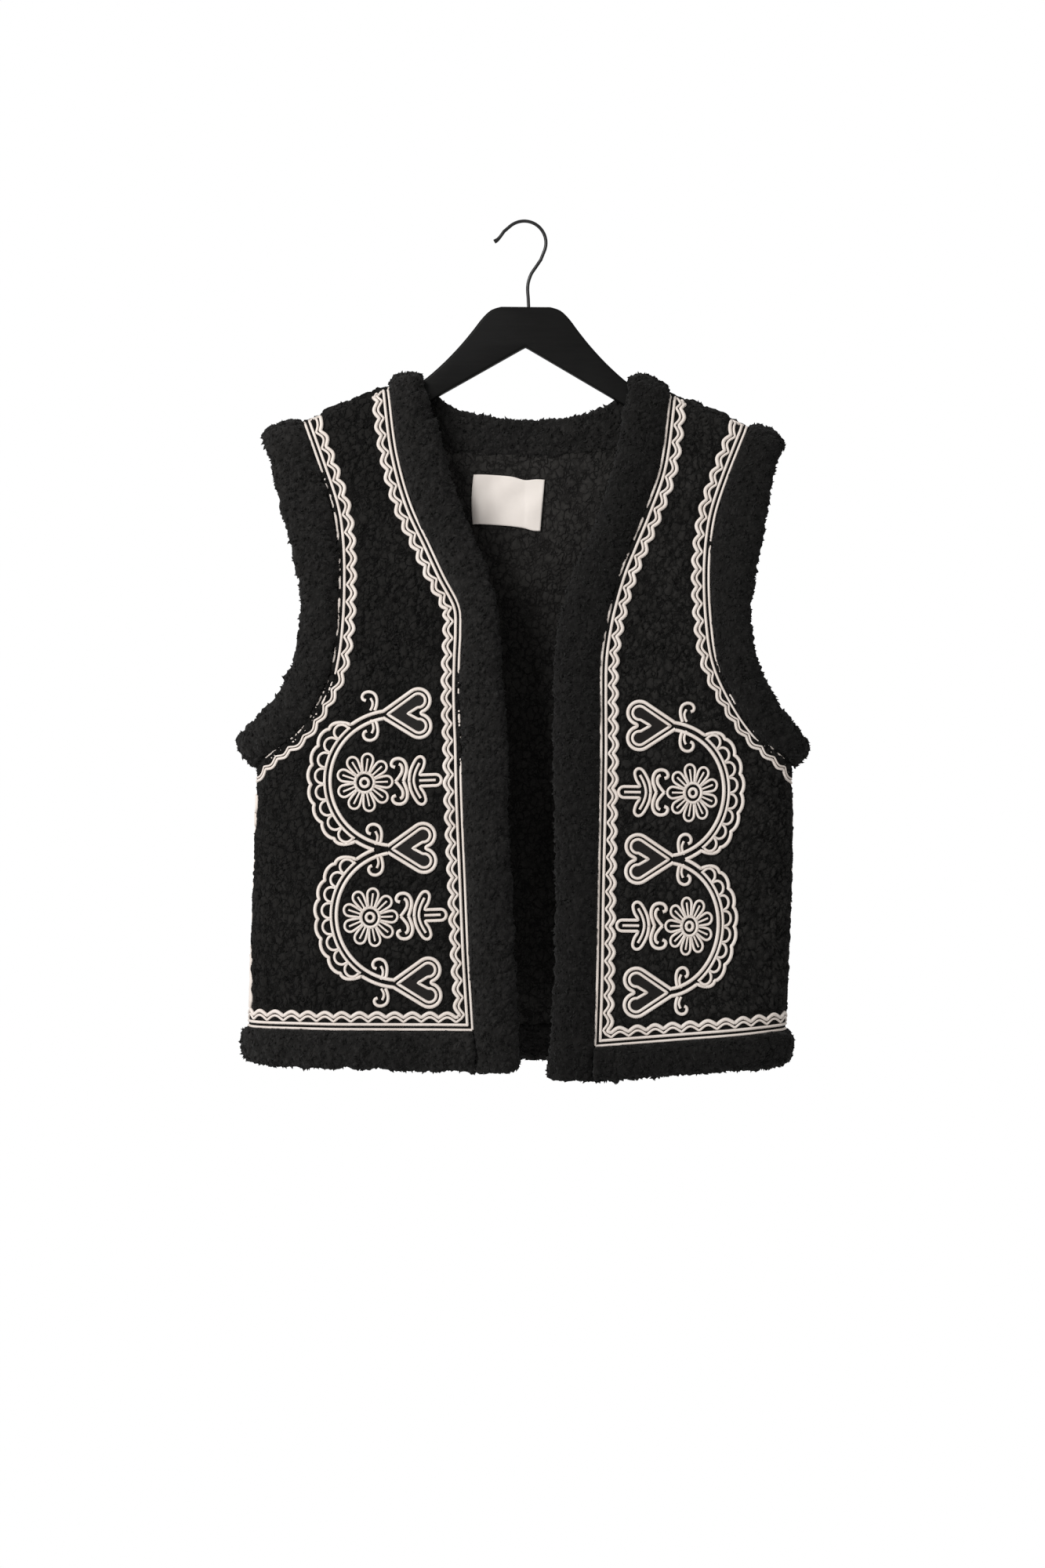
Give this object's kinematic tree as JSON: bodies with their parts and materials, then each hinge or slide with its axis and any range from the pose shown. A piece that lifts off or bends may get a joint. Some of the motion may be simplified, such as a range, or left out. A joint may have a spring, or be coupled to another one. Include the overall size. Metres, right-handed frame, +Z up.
{
  "type": "vest on hanger",
  "caption": "Open-front sleeveless pile vest with puffy edge bands and cream corded folk embroidery, hanging flat on a wooden hanger with a wire hook.",
  "frame": {"origin": "underside of the hook's crown, where a rail touches it", "axes": "+Z up, the vest's front faces -Y, +X to the right of someone who looks at its front"},
  "size_m": [0.5116, 0.0994, 0.768],
  "materials": {
    "pile_cloth": "black curly pile, matt",
    "cord": "cream satin-stitched cord",
    "label": "cream woven satin, blank",
    "hanger_wood": "black satin lacquer",
    "hook_wire": "black wire, semi-gloss"
  },
  "bodies": {
    "root": {"front_left": "pile_cloth", "front_right": "pile_cloth", "back": "pile_cloth", "front_band_left": "pile_cloth", "front_band_right": "pile_cloth", "back_neck_band": "pile_cloth", "armhole_band_left": "pile_cloth", "armhole_band_right": "pile_cloth", "hem_band_front_left": "pile_cloth", "hem_band_front_right": "pile_cloth", "hem_band_back": "pile_cloth", "neck_label": "label", "border_front_left": "cord", "border_front_right": "cord", "border_hem_front_left": "cord", "border_hem_front_right": "cord", "border_hem_back": "cord", "border_side_left": "cord", "border_side_right": "cord", "border_armhole_left": "cord", "border_armhole_right": "cord", "border_back_neck": "cord", "heart_top_left": "cord", "heart_middle_left": "cord", "heart_low_left": "cord", "heart_top_right": "cord", "heart_middle_right": "cord", "heart_low_right": "cord", "vine_upper_left": "cord", "vine_lower_left": "cord", "vine_upper_right": "cord", "vine_lower_right": "cord", "daisy_upper_left": "cord", "daisy_lower_left": "cord", "daisy_upper_right": "cord", "daisy_lower_right": "cord", "scroll_upper_left": "cord", "scroll_lower_left": "cord", "scroll_upper_right": "cord", "scroll_lower_right": "cord", "tulip_upper_left": "cord", "tulip_lower_left": "cord", "tulip_upper_right": "cord", "tulip_lower_right": "cord", "hanger": "hanger_wood", "hook": "hook_wire"}
  },
  "joints": []
}
